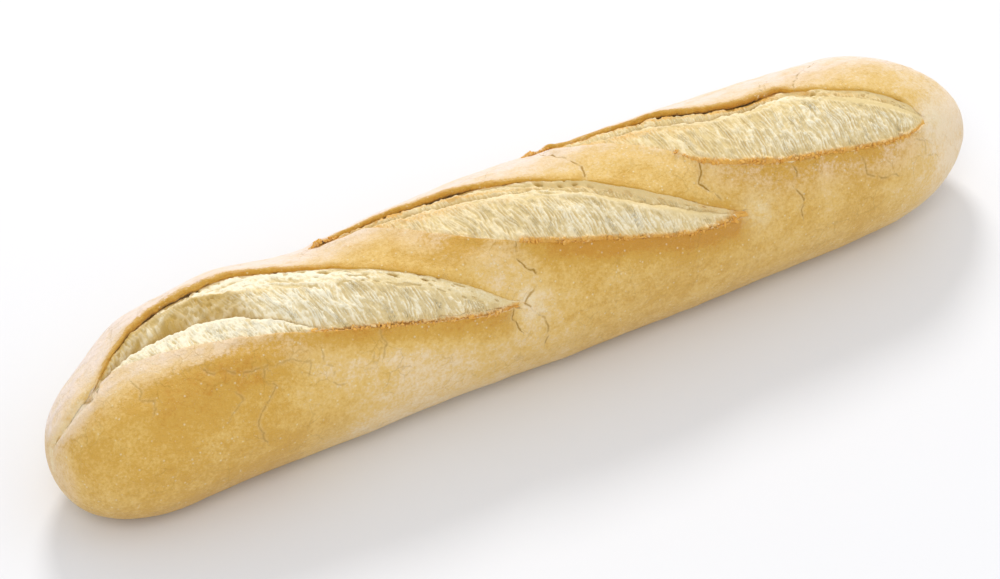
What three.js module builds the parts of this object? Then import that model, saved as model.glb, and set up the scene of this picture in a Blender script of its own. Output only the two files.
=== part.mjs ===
// A short baguette with three long diagonal cuts, as one closed solid.
// Millimetres, +Z up, +X along the loaf. The origin is on the flat underside, below the middle.
//
// A point of the skin is found from x and from phi, the angle round the loaf in degrees:
// 0 at the top, positive towards the front (-Y), 180 underneath. The skin is a row of rings.
// Lines of points run along the lips of the cuts and wind round the loaf beyond their tips.

import * as THREE from "three";

// ---------- the loaf ----------

const LENGTH = 300;
const WIDTH = 58.4; // at the middle
const HEIGHT = 50.4; // at the middle, without the lips
const WAIST = 0.44; // height of the widest line, as a share of the height
const THINNING = 0.19; // how much of its girth the loaf loses towards the ends
const TAPER = 0.033; // how much more girth the far half has than the near half
const BOW = 2.3; // sideways bow of the axis
const SWAY = 3.5; // sideways S of the axis
const CENTRE = 1.87; // how far back the middle of its two sides lies, which the origin is put under
const SOLE_PRESS = 1.16; // depth of a fully round belly, over the flat underside's
const SIDE_ROUNDNESS = 0.94; // 1 for a true ellipse, less for fuller sides
const CROWN_ROUNDNESS = 0.96; // the same for the top and underneath
const NOSES = {
  near: { length: 34, roundness: 2.45 },
  far: { length: 41, roundness: 2 },
};

// ---------- the three cuts ----------
// from, to: the two tips of a cut, as [x, phi]. Its back and front edges bow away from the
// straight line between the tips, each by so many degrees, the two powers of hump() placing
// the widest part. ear is how high the back lip lifts. The crumb between the lips rises as a
// bulge and drops into a torn valley beside the ear, which ends at reach, a share of the cut.

const CUTS = [
  {
    from: [-138, -8],
    to: [-17, 64],
    back: { bow: 60, powers: [0.9, 1.3] },
    front: { bow: 8, powers: [2, 1] },
    ear: { lift: 4.4, powers: [0.8, 2.2] },
    crumb: { bulge: 3.4, valley: 9, start: 0.42, reach: 0.5 },
  },
  {
    from: [-62, -34],
    to: [59, 62],
    back: { bow: 20, powers: [1.3, 1.2] },
    front: { bow: 26, powers: [0.9, 1] },
    ear: { lift: 2.8, powers: [0.7, 1.6] },
    crumb: { bulge: 3.2, valley: 4.5, start: 0.2, reach: 0.55 },
  },
  {
    from: [9, -38],
    to: [127, 46],
    back: { bow: 25, powers: [1, 0.4] },
    front: { bow: 32, powers: [1.2, 1.1] },
    ear: { lift: 2.4, powers: [0.7, 1.2] },
    crumb: { bulge: 3, valley: 4, start: 0.2, reach: 0.8 },
  },
];

const OPENING = [0.5, 0.5]; // how a cut opens along its length, as powers of hump()
const FRONT_LIP = 1.1; // how high a front lip stands
const FRONT_LIP_POWERS = [0.6, 0.5];
const LIP_WIDTH = 3.2; // how far back from its edge a lip curls up
const LIP_STEP = 1.6; // drop from the loaf's own round to the crumb beside a lip
const BULGE_FULLNESS = 0.7; // power of the crumb's arch, less for a squarer one
const VALLEY_POWERS = [0.7, 1.2];
const VALLEY_END = 0.1; // share of the cut's width from the ear to where a valley runs out
const VALLEY_WIDTH = 0.22; // half width of a valley, as a share of the cut's width
const MM_PER_DEGREE = 0.47; // round the top of the loaf

// ---------- the rings ----------

const RINGS = 84;
const NOSE_RINGS = 13; // rings that each nose gets
const CUT_STEPS = 8; // steps of a ring from a cut's back lip to its front lip
const BRIDGE_STEPS = 5; // from one cut to the next
const BELLY_STEPS = 20; // from the first cut, round underneath, to the third
const MIN_BAND = 5; // degrees on each side of a cut's line that its points keep beyond its tips
const LIP_FOOT = 0.03; // share of the cut's width from a lip's edge to its foot

const DEG = Math.PI / 180;
const clamp01 = (v) => Math.min(1, Math.max(0, v));
const smooth = (v) => clamp01(v) ** 2 * (3 - 2 * clamp01(v));
const lerp = (a, b, t) => a + (b - a) * t;

// A hump on 0..1, 0 at both ends and 1 at its peak, leaning by its two powers.
function hump(u, [rise, fall]) {
  if (u <= 0 || u >= 1) return 0;
  const peak = rise / (rise + fall);
  return (u / peak) ** rise * ((1 - u) / (1 - peak)) ** fall;
}

// ---------- the plain round of the loaf ----------

function noseScale(distance, { length, roundness }) {
  return (1 - (1 - clamp01(distance / length)) ** roundness) ** (1 / roundness);
}

// The point at x and phi, lifted off the plain round of the loaf by lift.
function skinPoint(x, phi, lift) {
  const t = (2 * x) / LENGTH;
  const girth = 1 + TAPER * t - THINNING * t * t;
  const scale =
    noseScale(x + LENGTH / 2, NOSES.near) *
    noseScale(LENGTH / 2 - x, NOSES.far);
  const height = HEIGHT * girth;
  const waist = WAIST * height;
  const c = Math.cos(phi * DEG);
  const s = Math.sin(phi * DEG);
  const halfWidth = 0.5 * WIDTH * girth * scale;
  const across = halfWidth * Math.sign(s) * Math.abs(s) ** SIDE_ROUNDNESS;
  const upDown = Math.abs(c) ** CROWN_ROUNDNESS * scale;
  const z =
    c > 0
      ? waist + (height - waist) * upDown
      : Math.max(0, waist - SOLE_PRESS * waist * upDown);
  const sideways = BOW * (1 - t * t) - SWAY * (t - t ** 3);
  return [x, sideways - across - lift * s, z + lift * c];
}

// ---------- the cuts ----------

// A cut at x: u along it, and the angles of its line, back edge and front edge.
// Beyond its tips the line runs on and the edges lie on it.
function cutAt(cut, x) {
  const u = (x - cut.from[0]) / (cut.to[0] - cut.from[0]);
  const line = lerp(cut.from[1], cut.to[1], u);
  return {
    cut,
    u,
    line,
    back: line - cut.back.bow * hump(u, cut.back.powers),
    front: line + cut.front.bow * hump(u, cut.front.powers),
  };
}

// Height of the torn crumb at b, the share of the way from the back lip to the front lip.
function crumbHeight({ cut, u }, b) {
  const { bulge, valley, start, reach } = cut.crumb;
  const torn = valley * hump(u / reach, VALLEY_POWERS);
  const centre = lerp(start, VALLEY_END, smooth(u / reach));
  const dip = Math.exp(-(((b - centre) / VALLEY_WIDTH) ** 2));
  const arch = bulge * Math.sin(Math.PI * b) ** BULGE_FULLNESS;
  return hump(u, OPENING) * (arch - LIP_STEP) - torn * dip;
}

// Height of a lip of crust, at a distance in degrees from its edge.
const lipCurl = (degrees) =>
  Math.exp(-(((degrees * MM_PER_DEGREE) / LIP_WIDTH) ** 2));

// Height of the crust outside the cuts, near whose edges it curls up.
function crustLift(places, phi) {
  return places.reduce((lift, { cut, u, back, front }) => {
    const ear = cut.ear.lift * hump(u, cut.ear.powers);
    const lip = FRONT_LIP * hump(u, FRONT_LIP_POWERS);
    const curl =
      phi <= back ? ear * lipCurl(back - phi) : lip * lipCurl(phi - front);
    return lift + curl;
  }, 0);
}

// ---------- the skin ----------

// Rings lie close together on the noses, evenly between them.
function ringPlaces() {
  const half = LENGTH / 2;
  const innerFrom = -half + NOSES.near.length;
  const innerTo = half - NOSES.far.length;
  const inner = RINGS - 2 * NOSE_RINGS;
  return Array.from({ length: RINGS }, (_, i) => {
    if (i < NOSE_RINGS)
      return -half + NOSES.near.length * ((i + 1) / NOSE_RINGS) ** 2;
    if (i >= RINGS - NOSE_RINGS)
      return half - NOSES.far.length * ((RINGS - i) / NOSE_RINGS) ** 2;
    return lerp(innerFrom, innerTo, (i - NOSE_RINGS + 1) / (inner + 1));
  });
}

// One ring, from the back edge of the third cut towards the front and round underneath.
function ringPoints(x) {
  const places = CUTS.map((cut) => cutAt(cut, x)).reverse();
  const bands = places.map(({ line, back, front }) => ({
    from: Math.min(back, line - MIN_BAND),
    to: Math.max(front, line + MIN_BAND),
  }));
  const points = [];
  bands.forEach((band, i) => {
    const place = places[i];
    const open = place.u > 0 && place.u < 1;
    for (let k = 0; k <= CUT_STEPS; k++) {
      const phi = lerp(band.from, band.to, cutShare(k));
      const b = (phi - place.back) / (place.front - place.back);
      const inside = open && k > 0 && k < CUT_STEPS && b > 0 && b < 1;
      const lift = inside ? crumbHeight(place, b) : crustLift(places, phi);
      points.push(skinPoint(x, phi, lift));
    }
    const last = i === bands.length - 1;
    const next = last ? bands[0].from + 360 : bands[i + 1].from;
    const steps = last ? BELLY_STEPS : BRIDGE_STEPS;
    for (let k = 1; k < steps; k++) {
      const share = last ? k / steps : 0.5 * (k / steps + smooth(k / steps));
      const phi = lerp(band.to, next, share);
      points.push(skinPoint(x, phi, crustLift(places, wrap(phi))));
    }
  });
  return points;
}

// Shares of a cut's width: its two lips, the foot of each, and an even spread between.
function cutShare(k) {
  if (k === 0 || k === CUT_STEPS) return k / CUT_STEPS;
  return lerp(LIP_FOOT, 1 - LIP_FOOT, (k - 1) / (CUT_STEPS - 2));
}

const wrap = (phi) => (phi > 180 ? phi - 360 : phi);

function loafGeometry() {
  const rings = ringPlaces().map(ringPoints);
  const count = rings[0].length;
  const tips = [-LENGTH / 2, LENGTH / 2].map((x) => skinPoint(x, 0, 0));
  const positions = [...rings.flat(), ...tips].flat();
  const nearTip = rings.length * count;
  const farTip = nearTip + 1;

  const faces = [];
  for (let k = 0; k < count; k++) {
    const n = (k + 1) % count;
    faces.push(nearTip, n, k);
    for (let r = 0; r + 1 < rings.length; r++) {
      const a = r * count;
      const b = a + count;
      faces.push(a + n, b + n, b + k, a + n, b + k, a + k);
    }
    const end = (rings.length - 1) * count;
    faces.push(farTip, end + k, end + n);
  }

  const geometry = new THREE.BufferGeometry();
  geometry.setAttribute(
    "position",
    new THREE.Float32BufferAttribute(positions, 3),
  );
  geometry.setIndex(faces);
  geometry.translate(0, -CENTRE, 0);
  geometry.computeVertexNormals();
  return geometry;
}

const crust = new THREE.MeshStandardMaterial({
  color: 0xd9b26a,
  roughness: 0.72,
  metalness: 0,
});

const baguette = new THREE.Mesh(loafGeometry(), crust);
baguette.name = "baguette";

const group = new THREE.Group();
group.add(baguette);

export default group;
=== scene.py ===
import math

import bpy
import numpy as np
from bpy.props import FloatProperty, FloatVectorProperty, IntProperty, PointerProperty
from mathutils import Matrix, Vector


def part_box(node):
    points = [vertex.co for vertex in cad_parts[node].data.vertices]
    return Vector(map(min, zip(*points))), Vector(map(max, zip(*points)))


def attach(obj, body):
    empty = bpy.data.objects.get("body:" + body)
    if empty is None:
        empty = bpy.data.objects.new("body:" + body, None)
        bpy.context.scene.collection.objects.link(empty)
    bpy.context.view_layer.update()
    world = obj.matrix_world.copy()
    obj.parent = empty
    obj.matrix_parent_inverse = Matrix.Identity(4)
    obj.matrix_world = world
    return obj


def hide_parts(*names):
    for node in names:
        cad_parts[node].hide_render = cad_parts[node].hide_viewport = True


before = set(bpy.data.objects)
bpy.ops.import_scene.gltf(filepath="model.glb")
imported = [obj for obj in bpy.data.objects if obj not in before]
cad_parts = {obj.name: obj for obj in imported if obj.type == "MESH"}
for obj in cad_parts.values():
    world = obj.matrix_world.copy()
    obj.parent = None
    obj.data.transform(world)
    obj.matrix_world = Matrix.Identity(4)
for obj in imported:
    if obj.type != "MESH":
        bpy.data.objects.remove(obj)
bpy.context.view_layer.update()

bl_info = {
    "name": "Baguette",
    "version": (1, 0, 0),
    "blender": (4, 5, 0),
    "location": "3D View > Sidebar > Baguette",
    "description": "Makes a short baguette with three burst cuts, on a pale table",
    "category": "Object",
}

# Lengths are in millimetres until a mesh is made, as bread is measured. A place on the loaf is
# x, along it, and phi, the angle round it in degrees: 0 on top, positive towards the front (-Y).

MM = 0.001
NODE = "baguette"
LOW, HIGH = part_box(NODE)
LENGTH = (HIGH.x - LOW.x) / MM

# ---------- the round of the loaf, as in CAD ----------

WIDTH = 58.4
HEIGHT = 50.4
WAIST = 0.44  # height of the widest line, as a share of the height
THINNING = 0.19  # girth lost towards the ends
TAPER = 0.033
BOW = 2.3
SWAY = 3.5
CENTRE = 1.87
SOLE_PRESS = 1.16
SIDE_ROUNDNESS = 0.94
CROWN_ROUNDNESS = 0.96
NEAR_NOSE = (34.0, 2.45)  # length, roundness
FAR_NOSE = (41.0, 2.0)
MM_PER_DEGREE = 0.47  # round the top


def smooth(v):
    v = np.clip(v, 0, 1)
    return v * v * (3 - 2 * v)


def bell(v):
    return np.exp(-v * v)


def mix(a, b, t):
    return a + (b - a) * t


def curve(x, points):
    """A smooth curve through a few (x, value) points, level beyond its ends."""
    px, py = np.array(points, float).T
    slope = np.diff(py) / np.diff(px)
    m = np.concatenate(([0], 0.5 * (slope[1:] + slope[:-1]), [0]))
    m[1:-1] = np.where(slope[1:] * slope[:-1] > 0, m[1:-1], 0)
    m[0], m[-1] = slope[0], slope[-1]
    x = np.clip(x, px[0], px[-1])
    i = np.clip(np.searchsorted(px, x, "right") - 1, 0, len(px) - 2)
    h = px[i + 1] - px[i]
    t = (x - px[i]) / h
    return (
        py[i] * (1 + 2 * t) * (1 - t) ** 2
        + m[i] * h * t * (1 - t) ** 2
        + py[i + 1] * t * t * (3 - 2 * t)
        + m[i + 1] * h * t * t * (t - 1)
    )


def lattice(ix, iy, iz, seed):
    """A repeatable random value from -1 to 1 at each whole-numbered place."""
    with np.errstate(over="ignore"):
        h = (
            ix.astype(np.uint32) * np.uint32(73856093)
            ^ iy.astype(np.uint32) * np.uint32(19349663)
            ^ iz.astype(np.uint32) * np.uint32(83492791)
            ^ np.uint32(seed * 7919 + 17)
        )
        h ^= h >> np.uint32(16)
        h *= np.uint32(2246822519)
        h ^= h >> np.uint32(13)
        h *= np.uint32(3266489917)
        h ^= h >> np.uint32(16)
    return h.astype(float) / 2**31 - 1


def noise(x, y, z=0.0, seed=0):
    """Smooth noise from -1 to 1, with lumps one unit wide."""
    x, y, z = np.broadcast_arrays(x, y, z)
    ix, iy, iz = (np.floor(v).astype(np.int64) for v in (x, y, z))
    fx, fy, fz = (smooth(v - i) for v, i in ((x, ix), (y, iy), (z, iz)))
    total = 0.0
    for dx in (0, 1):
        for dy in (0, 1):
            for dz in (0, 1):
                weight = (
                    (fx if dx else 1 - fx)
                    * (fy if dy else 1 - fy)
                    * (fz if dz else 1 - fz)
                )
                total = total + weight * lattice(ix + dx, iy + dy, iz + dz, seed)
    return total


def nose_scale(distance, nose):
    length, roundness = nose
    return (1 - (1 - np.clip(distance / length, 0, 1)) ** roundness) ** (1 / roundness)


def skin(x, phi, lift):
    """The point at x and phi, lifted off the plain round of the loaf."""
    x, phi, lift = np.broadcast_arrays(x, phi, lift)
    t = 2 * x / LENGTH
    girth = 1 + TAPER * t - THINNING * t * t
    scale = nose_scale(x + LENGTH / 2, NEAR_NOSE) * nose_scale(LENGTH / 2 - x, FAR_NOSE)
    height = HEIGHT * girth
    waist = WAIST * height
    c, s = np.cos(np.radians(phi)), np.sin(np.radians(phi))
    across = 0.5 * WIDTH * girth * scale * np.sign(s) * np.abs(s) ** SIDE_ROUNDNESS
    up_down = np.abs(c) ** CROWN_ROUNDNESS * scale
    top = waist + (height - waist) * up_down
    under = np.maximum(0, waist - SOLE_PRESS * waist * up_down)
    z = np.where(c > 0, top, under)
    sideways = BOW * (1 - t * t) - SWAY * (t - t**3) - CENTRE
    return np.stack([x, sideways - across - lift * s, np.maximum(z + lift * c, 0)], -1)


# ---------- the cuts ----------

CUT_OPENING = 9.0  # mm from a cut's tip to where it is fully open
CALM_LEAD = 16.0  # mm before calm_from where a burst starts to turn shallow
CALM_SPAN = 22.0  # mm over which it does


class Cut:
    """One burst cut. Each line on it is a few (x, phi) points; each size along it, (x, mm) points.

    back_line and front_line are the crust's edges, ear is the height of the back lip, and overhang
    how far that reaches over the crumb. rear_line and rear are the ridge of crumb beside the ear,
    gap_line and gap the valley beyond it, crest_line and front_rise the top of the front bulge.
    Past calm_from the burst is shallow. Past rag_from the front lip is ragged, and browner by
    lip_bake. lean is the slant of the torn strands, bloom the painted sheen, a pale pink standing for
    the light's glint, in a band below the front lip, groove the gap under the ear, sunk into the crumb
    and darkened with painted shade, whiteness how much the painted shade between the torn strands is
    lessened. bubbles are its large holes, as (x, mm from the back edge, size), and lip_crumbs the
    first x and number of crumbs.
    """

    def __init__(self, name, seed, **shape):
        self.name, self.seed = name, seed
        self.__dict__.update(shape)
        self.start, self.end = self.back_line[0][0], self.back_line[-1][0]

    def rough(self, number, x, y):
        """One of the cut's own noises, from -1 to 1."""
        return noise(x, y, seed=self.seed + number)

    def middle(self, x):
        """phi of the straight line from tip to tip."""
        slope = (self.back_line[-1][1] - self.back_line[0][1]) / (self.end - self.start)
        return self.back_line[0][1] + slope * (x - self.start)

    def open(self, x):
        """0 at the tips and beyond, 1 where the cut is open."""
        return smooth((x - self.start) / CUT_OPENING) * smooth((self.end - x) / CUT_OPENING)

    def calm(self, x):
        """0 where the burst is at its full depth, 1 where the cut shallows out towards its end."""
        return smooth((x - self.calm_from + CALM_LEAD) / CALM_SPAN)

    def back(self, x):
        rag = 0.5 * self.rough(0, x / 4.1, 3.7) + 0.22 * self.rough(0, x / 1.3, 8.1)
        return curve(x, self.back_line) + rag * self.open(x)

    def front(self, x):
        rag = 0.5 * self.rough(9, x / 5.3, 1.7) + 0.3 * self.rough(9, x / 1.1, 5.1)
        return curve(x, self.front_line) + rag * self.open(x)


CUTS = [
    Cut(
        "crumb_near",
        11,
        back_line=[(-138, -1), (-132, -9), (-124, -19), (-112, -28), (-98, -31), (-88, -28), (-78, -20),
                   (-66, -6), (-54, 8), (-42, 24), (-30, 42), (-21, 57), (-15, 65)],
        front_line=[(-138, -1), (-130, -3), (-120, 1), (-105, 10), (-90, 21), (-74, 34), (-60, 44),
                    (-46, 53), (-33, 60), (-22, 64), (-15, 65)],
        ear=[(-138, 0), (-126, 1.2), (-100, 1.5), (-80, 1.3), (-60, 0.9), (-30, 0.3), (-15, 0)],
        overhang=[(-138, 0.2), (-120, 1.0), (-90, 1.1), (-70, 0.7), (-40, 0.3), (-15, 0.1)],
        calm_from=-58,
        rag_from=-84,
        lip_bake=0.8,
        lean=0.2,
        sheen=[(-150, 0.85), (-125, 0.65), (-95, 0.5), (-72, 0.1), (-15, 0)],
        groove=[(-138, 0), (-130, 0.45), (-112, 0.7), (-98, 0.6), (-86, 0.2), (-74, 0), (-15, 0)],
        less_hollow_shade=0.07,
        lip_crumbs=(-76, 210),
        bubbles=[(-69.5, 1.1, 0.7), (-64.5, 2.0, 1.2), (-48.5, 1.8, 0.9), (-41, 2.0, 0.6), (-84, 1.2, 0.6)],
        rear_line=[(-138, -1.5), (-128, -14), (-118, -21), (-108, -23), (-98, -21), (-91, -14), (-84, -6),
                   (-72, 4), (-60, 14), (-48, 27), (-36, 43), (-24, 58), (-15, 65)],
        rear=[(-138, -0.4), (-124, 0.5), (-105, 0.8), (-95, 0.8), (-84, 1.5), (-60, 1.8), (-40, 1.2),
              (-22, 0.0), (-15, -0.4)],
        gap_line=[(-138, -1.2), (-134, -3), (-126, -9), (-116, -11), (-102, -8), (-93, 0), (-84, 13),
                  (-75, 29), (-69, 39), (-60, 44), (-15, 65)],
        gap=[(-137, -0.6), (-125, -4.5), (-108, -7), (-97, -6), (-88, -3.2), (-78, -2.0), (-69, -1.2),
             (-15, -0.5)],
        crest_line=None,  # the crest is a share of the way from the gap to the front edge
        front_share=0.32,
        front_rise=[(-137, -0.4), (-120, -0.1), (-100, 0.4), (-85, 0.3), (-72, -0.7), (-15, -0.6)],
    ),
    Cut(
        "crumb_middle",
        23,
        back_line=[(-62, -31), (-47, -27), (-34, -24), (-20, -21), (-11, -16), (-3, -9), (5, -2), (16, 9),
                   (27, 23), (39, 38), (50, 52), (60, 62)],
        front_line=[(-62, -31), (-54, -21), (-46, -18), (-39, -6), (-31, 7), (-24, 17), (-12, 29), (0, 39),
                    (12, 46), (24, 53), (36, 59), (48, 62), (60, 62)],
        ear=[(-62, 1.0), (-59, 1.9), (-56, 1.2), (-40, 1.3), (-22, 1.0), (-5, 0.8), (14, 0.5), (40, 0.2),
             (60, 0)],
        overhang=[(-62, 0.8), (-40, 1.2), (-10, 1.0), (10, 0.5), (30, 0.2), (60, 0.1)],
        calm_from=8,
        rag_from=-16,
        lip_bake=0.8,
        lean=0.2,
        sheen=[(-62, 0), (-30, 0.4), (0, 0), (60, 0)],
        less_hollow_shade=0.0,
        lip_crumbs=(-12, 230),
        groove=[(-58, 0), (-46, 0.7), (-24, 0.95), (-12, 0.5), (2, 0.15), (22, 0)],
        bubbles=[(-14, 1.0, 0.8), (-8, 1.1, 0.5), (4, 1.0, 0.9), (9, 1.2, 0.5), (13, 0.9, 0.6)],
        rear_line=[(-62, -31), (-50, -24.5), (-40, -21.5), (-30, -18.5), (-20, -14), (-10, -8), (0, -1),
                   (9, 6), (16, 13), (27, 27), (39, 41), (50, 54), (60, 62)],
        rear=[(-62, -0.3), (-45, 0.3), (-25, 0.2), (-10, -0.2), (5, -0.6), (20, -0.6), (45, -0.5),
              (60, -0.2)],
        gap_line=[(-62, -31), (-44, -20), (-32, -15), (-19, -9.5), (-9, -3), (2, 3), (9, 11), (16, 19),
                  (23, 28), (30, 36), (38, 44), (50, 55), (60, 62)],
        gap=[(-61, -0.5), (-46, -2.6), (-30, -4.5), (-16, -4.2), (-6, -2.4), (6, -1.6), (20, -1.3),
             (40, -1.0), (60, -0.3)],
        crest_line=[(-62, -31), (-50, -21), (-40, -13), (-30, -7), (-16, 0), (-4, 8), (9, 17), (23, 33),
                    (37, 48), (50, 57), (60, 62)],
        front_rise=[(-62, -0.2), (-44, 0.6), (-24, 1.2), (0, 1.8), (25, 1.6), (45, 0.6), (60, -0.2)],
    ),
    Cut(
        "crumb_far",
        37,
        back_line=[(8, -33), (22, -30), (38, -29), (50, -24), (58, -17), (66, -11), (77, -8), (86, -9),
                   (92, -5), (101, 1), (109, 9), (117, 20), (123, 32), (127, 45)],
        front_line=[(8, -33), (16, -24), (24, -15), (34, -3), (43, 10), (49, 22), (60, 31), (73, 38),
                    (88, 43), (102, 48), (115, 50), (127, 45)],
        ear=[(8, 0.8), (10, 1.9), (12, 0.8), (15, 0.9), (17, 1.9), (20, 1.1), (40, 1.1), (60, 1.1),
             (78, 1.2), (92, 0.6), (110, 0.3), (127, 0)],
        overhang=[(8, 0.8), (30, 1.2), (78, 1.1), (90, 0.5), (127, 0.1)],
        calm_from=96,
        rag_from=42,
        lip_bake=0.3,
        lean=0.05,
        sheen=[(8, 0), (44, 0.1), (70, 0.5), (115, 0.4), (127, 0)],
        less_hollow_shade=-0.06,
        lip_crumbs=(44, 260),
        groove=[(14, 0), (30, 0.6), (50, 0.95), (76, 0.8), (88, 0.3), (100, 0)],
        bubbles=[(63, 1.0, 0.7), (70, 1.2, 0.9), (96, 1.4, 0.7)],
        rear_line=[(8, -33), (26, -26.5), (42, -22), (52, -16), (62, -10), (72, -5.5), (82, -6), (92, -2),
                   (101, 5), (109, 13), (117, 24), (123, 35), (127, 45)],
        rear=[(8, -0.2), (30, 0.3), (60, 0.2), (78, -0.2), (92, -0.6), (127, -0.3)],
        gap_line=[(8, -33), (26, -22), (42, -17), (52, -10), (64, -4.5), (76, -1.5), (86, -3), (92, 2),
                  (101, 9), (109, 17), (117, 28), (123, 38), (127, 45)],
        gap=[(9, -0.5), (24, -2.6), (45, -4.2), (70, -4.2), (84, -2.6), (92, -1.5), (105, -1.1),
             (127, -0.3)],
        crest_line=[(8, -33), (20, -21), (32, -12), (44, -6), (56, 1), (70, 5), (84, 6), (96, 11),
                    (108, 23), (118, 35), (127, 45)],
        front_rise=[(8, -0.2), (26, 0.6), (44, 1.3), (70, 2.0), (92, 2.2), (110, 1.2), (127, -0.3)],
    ),
]


# ---------- cracks of the crust: how dark each is, then a few (x, phi) points ----------

CRACKS = [
    (1.0, [(-13, 31), (-14, 38), (-12, 46), (-10, 50)]),
    (0.8, [(-11, 56), (-14, 60), (-16, 64), (-14, 70), (-11, 77), (-10, 84), (-11, 95)]),
    (1.0, [(-20, 65), (-21, 70), (-19, 79)]),
    (0.5, [(-58, 45), (-59, 51), (-58, 55), (-60, 62)]),
    (1.1, [(13, -24), (15, -16), (17, -8), (18, -1), (17, 4), (16, 8)]),
    (1.1, [(49, 24), (48, 29), (46, 34), (48, 39)]),
    (0.6, [(50, 44), (51, 50), (50, 57)]),
    (0.9, [(76, 40), (77, 47), (74, 54), (76, 62), (75, 74)]),
    (0.7, [(98, 46), (99, 54), (99, 64), (104, 70), (109, 71)]),
    (0.8, [(106, -30), (100, -24), (95, -16), (92, -7)]),
    (0.5, [(85, -22), (83, -15), (83, -9)]),
    (0.5, [(-126, 11), (-125, 18), (-127, 24), (-123, 28), (-125, 36)]),
    (0.6, [(-108, 24), (-106, 30), (-102, 32), (-99, 37), (-93, 39), (-94, 47), (-91, 53), (-95, 60),
           (-99, 70), (-98, 84)]),
    (0.45, [(-99, 37), (-103, 44), (-101, 52), (-106, 60)]),
    (0.45, [(-93, 39), (-86, 41), (-80, 47), (-82, 56)]),
    (0.5, [(-76, 45), (-77, 52), (-74, 57), (-76, 64), (-73, 69)]),
    (0.5, [(-42, 36), (-38, 38), (-36, 33), (-33, 39), (-30, 41)]),
    (0.7, [(-137, -1), (-140, -4), (-143, -2.5), (-145.5, -4), (-147.5, -9)]),
    (0.4, [(118, 52), (122, 58), (121, 66), (126, 72)]),
]


def jagged(points, seed):
    """A crack's points in mm, with small random turns put in between them."""
    rng = np.random.default_rng(seed)
    points = np.array(points, float) * (1, MM_PER_DEGREE)
    made = [points[:1]]
    for a, b in zip(points, points[1:]):
        count = max(int(np.hypot(*(b - a)) / 1.3), 1)
        t = np.arange(1, count + 1)[:, None] / count
        turn = rng.uniform(-0.45, 0.45, (count, 2)) * (t < 1)
        made.append(a + t * (b - a) + turn)
    return np.concatenate(made)


def crack_distance(x, phi):
    """Signed distance in mm to the nearest crack, and how strongly it shows, from 0 to 1."""
    a, c = x, phi * MM_PER_DEGREE
    best = np.full(np.shape(a), 99.0)
    side = np.zeros(np.shape(a))
    strength = np.zeros(np.shape(a))
    for number, (dark, crack) in enumerate(CRACKS):
        points = jagged(crack, number)
        low, high = points.min(0) - 3, points.max(0) + 3
        rows = np.nonzero((a[:, 0] > low[0]) & (a[:, 0] < high[0]))[0]
        if not len(rows):
            continue
        window = slice(rows[0], rows[-1] + 1)
        wa, wc = a[window], c[window]
        for (ax, ac), (bx, bc) in zip(points, points[1:]):
            dx, dc = bx - ax, bc - ac
            t = np.clip(((wa - ax) * dx + (wc - ac) * dc) / (dx * dx + dc * dc), 0, 1)
            d = np.hypot(wa - ax - t * dx, wc - ac - t * dc)
            nearer = d < best[window]
            turn = np.sign(dx * (wc - ac) - dc * (wa - ax))
            side[window] = np.where(nearer, np.where(turn == 0, 1, turn) * d, side[window])
            best[window] = np.where(nearer, d, best[window])
            strength[window] = np.where(nearer, dark, strength[window])
    return side, strength * (1 - smooth((best - 1.6) / 0.8))


# ---------- heights on the loaf ----------

# Uneven lumps of the whole loaf: height, length along it and width across it, in mm.
SWELLS = [(0.6, 31, 24), (0.36, 13, 11), (0.09, 4.7, 4.7)]
EAR_SPREAD = 4.2  # mm over which an ear rises behind its cut
FRONT_LIP = [(0.75, 0.0, 2.2), (0.5, 5.0, 6.0)]  # each swelling's height, place and spread, in mm


def swell(x, phi):
    """Height of the loaf's large uneven shape over its plain round, for crust and crumb alike."""
    p = skin(x, phi, 0)
    px, py, pz = p[..., 0], p[..., 1], p[..., 2]
    lift = 0.0
    for seed, (height, along, across) in enumerate(SWELLS, 1):
        lift = lift + height * noise(px / along, py / across, pz / across, seed)
    near_flap = smooth((x + 137) / 22) * smooth((-60 - x) / 32)
    lift = lift + 5.0 * near_flap * bell((phi + 46) / 23)
    far_shoulder = bell((x - 96) / 22)
    lift = lift + 1.2 * far_shoulder * bell((phi + 36) / 18)
    far_nose = smooth((x - 116) / 34)
    return lift - 1.4 * far_nose * np.maximum(np.cos(np.radians(phi)), 0)


def crust_lift(x, phi):
    """Height of the crust outside the cuts, over the plain round."""
    lift = swell(x, phi)
    for cut in CUTS:
        behind = (cut.back(x) - phi) * MM_PER_DEGREE
        before = (phi - cut.front(x)) * MM_PER_DEGREE
        inside = (x > cut.start) & (x < cut.end)
        ear = curve(x, cut.ear) * (1 + 0.18 * cut.rough(3, x / 2.6, 2.2))
        raised = smooth((x - cut.start) / 5) * smooth((cut.end - x) / CUT_OPENING)
        lift = lift + np.where(inside & (behind >= 0), ear * raised * bell(behind / EAR_SPREAD), 0)
        lip = cut.open(x) * sum(rise * bell((before - place) / wide) for rise, place, wide in FRONT_LIP)
        lift = lift + np.where(inside & (before >= 0), lip, 0)
    a = phi * MM_PER_DEGREE
    wrinkle = 1 - 2 * np.abs(noise(x / 6.5, a / 2.1 + 0.16 * x, seed=31))
    facing_up = smooth((60 - np.abs(phi)) / 50)
    lift = lift + (0.05 + 0.17 * facing_up) * wrinkle * (0.6 + 0.6 * noise(x / 17, a / 9, seed=32))
    crease = nose_crease(x, phi)
    return lift - 1.3 * bell(crease / 1.0) + 0.6 * bell((crease - 2.5) / 1.3)


# The fold that runs from the near cut's tip down the nose.
CREASE = [(-149, -16), (-147.5, -8), (-145, -3.4), (-137, -1)]


def nose_crease(x, phi):
    """Distance in mm from the fold on the nose."""
    middle = curve(x, CREASE) + 1.5 * noise(x / 2.3, 0.5, seed=33)
    across = np.linalg.norm(skin(x, phi, 0) - skin(x, middle, 0), axis=-1)
    beyond = np.maximum(np.maximum(x - CREASE[-1][0], CREASE[0][0] - x), 0)
    return np.hypot(across, beyond)


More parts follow.
